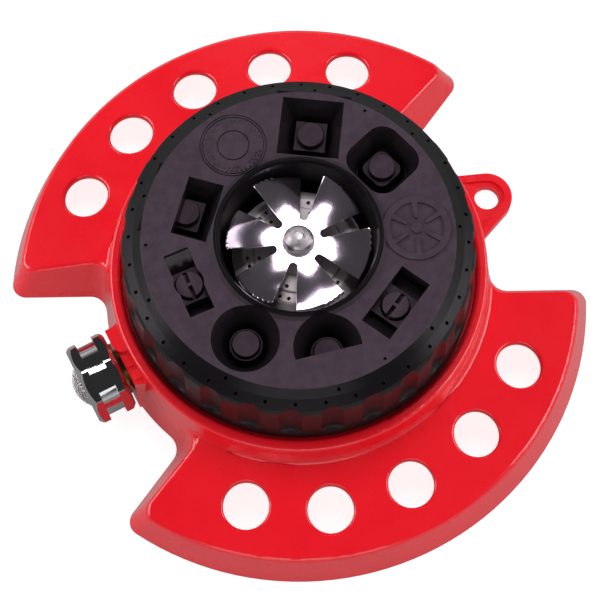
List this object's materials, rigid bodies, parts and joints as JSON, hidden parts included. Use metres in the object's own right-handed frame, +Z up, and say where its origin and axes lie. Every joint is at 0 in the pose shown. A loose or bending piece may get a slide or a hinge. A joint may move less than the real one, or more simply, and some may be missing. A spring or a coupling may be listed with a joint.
{
  "type": "turret lawn sprinkler",
  "caption": "Stationary turret sprinkler: pierced two-wing metal base, scooped dial with spray patterns, spinning steel propeller in a central bowl and a hose swivel",
  "frame": {"origin": "on the dial axis at ground level, the plane of the base casting's foot", "axes": "+Z up along the dial axis; -X towards the hose inlet; +X towards the hanging loop"},
  "size_m": [0.2312, 0.264, 0.0792],
  "materials": {
    "cast_base": "glossy red enamel over die-cast metal",
    "cover_plastic": "moulded black plastic",
    "steel_zinc": "zinc-plated steel",
    "stainless": "stainless steel",
    "water_plastic": "moulded plastic",
    "rubber_seal": "moulded rubber",
    "bush_plastic": "acetal",
    "chrome_nut": "polished chrome",
    "brass_insert": "turned brass",
    "dial_charcoal": "fine-textured charcoal",
    "skirt_dark": "glossy dark grey",
    "insert_grey": "satin grey",
    "blade_steel": "polished stainless sheet"
  },
  "bodies": {
    "base": {"base_casting": "cast_base", "bottom_cover": "cover_plastic", "cover_screws": "steel_zinc", "manifold_screws": "steel_zinc", "detent_screw": "steel_zinc", "inlet_manifold": "water_plastic", "seal_spring": "stainless", "pivot_bush": "bush_plastic", "thrust_washer": "bush_plastic", "detent_spring": "stainless", "tailpiece": "brass_insert", "inlet_o_ring": "rubber_seal", "hose_washer": "rubber_seal", "strainer": "stainless"},
    "seal": {"port_seal": "rubber_seal"},
    "coupling": {"coupling_nut": "chrome_nut"},
    "dial": {"port_plate": "water_plastic", "chamber_gasket": "rubber_seal", "plate_screws": "steel_zinc", "dial_cap": "dial_charcoal", "core_rounded_square": "dial_charcoal", "core_square": "dial_charcoal", "core_half_square": "dial_charcoal", "core_narrow_slot": "dial_charcoal", "core_round": "dial_charcoal", "core_half_round": "dial_charcoal", "core_wide_slot": "dial_charcoal", "grip_ring": "skirt_dark", "pivot_bolt": "steel_zinc", "pivot_washer": "steel_zinc", "hub_insert": "brass_insert", "nozzle_insert": "insert_grey", "shaft_screw": "stainless", "head_washer": "stainless", "spacer_washer": "stainless"},
    "propeller": {"propeller": "blade_steel"}
  },
  "joints": [
    {"name": "dial_turn", "type": "hinge", "parent": "base", "child": "dial", "pos_m": [0, 0, 0.0355], "axis": [0, 0, 1], "continuous": true, "deforming": ["detent_spring"]},
    {"name": "propeller_spin", "type": "hinge", "parent": "dial", "child": "propeller", "pos_m": [0, 0, 0.0698], "axis": [0, 0, 1], "continuous": true},
    {"name": "coupling_swivel", "type": "hinge", "parent": "base", "child": "coupling", "pos_m": [-0.0985, 0, 0.0197], "axis": [1, 0, 0], "continuous": true},
    {"name": "seal_float", "type": "slide", "parent": "base", "child": "seal", "axis": [0, 0, 1], "range_m": [-0.001, 0], "stiffness_N_per_m": 800, "springref_m": 0.002, "deforming": ["seal_spring"]}
  ]
}
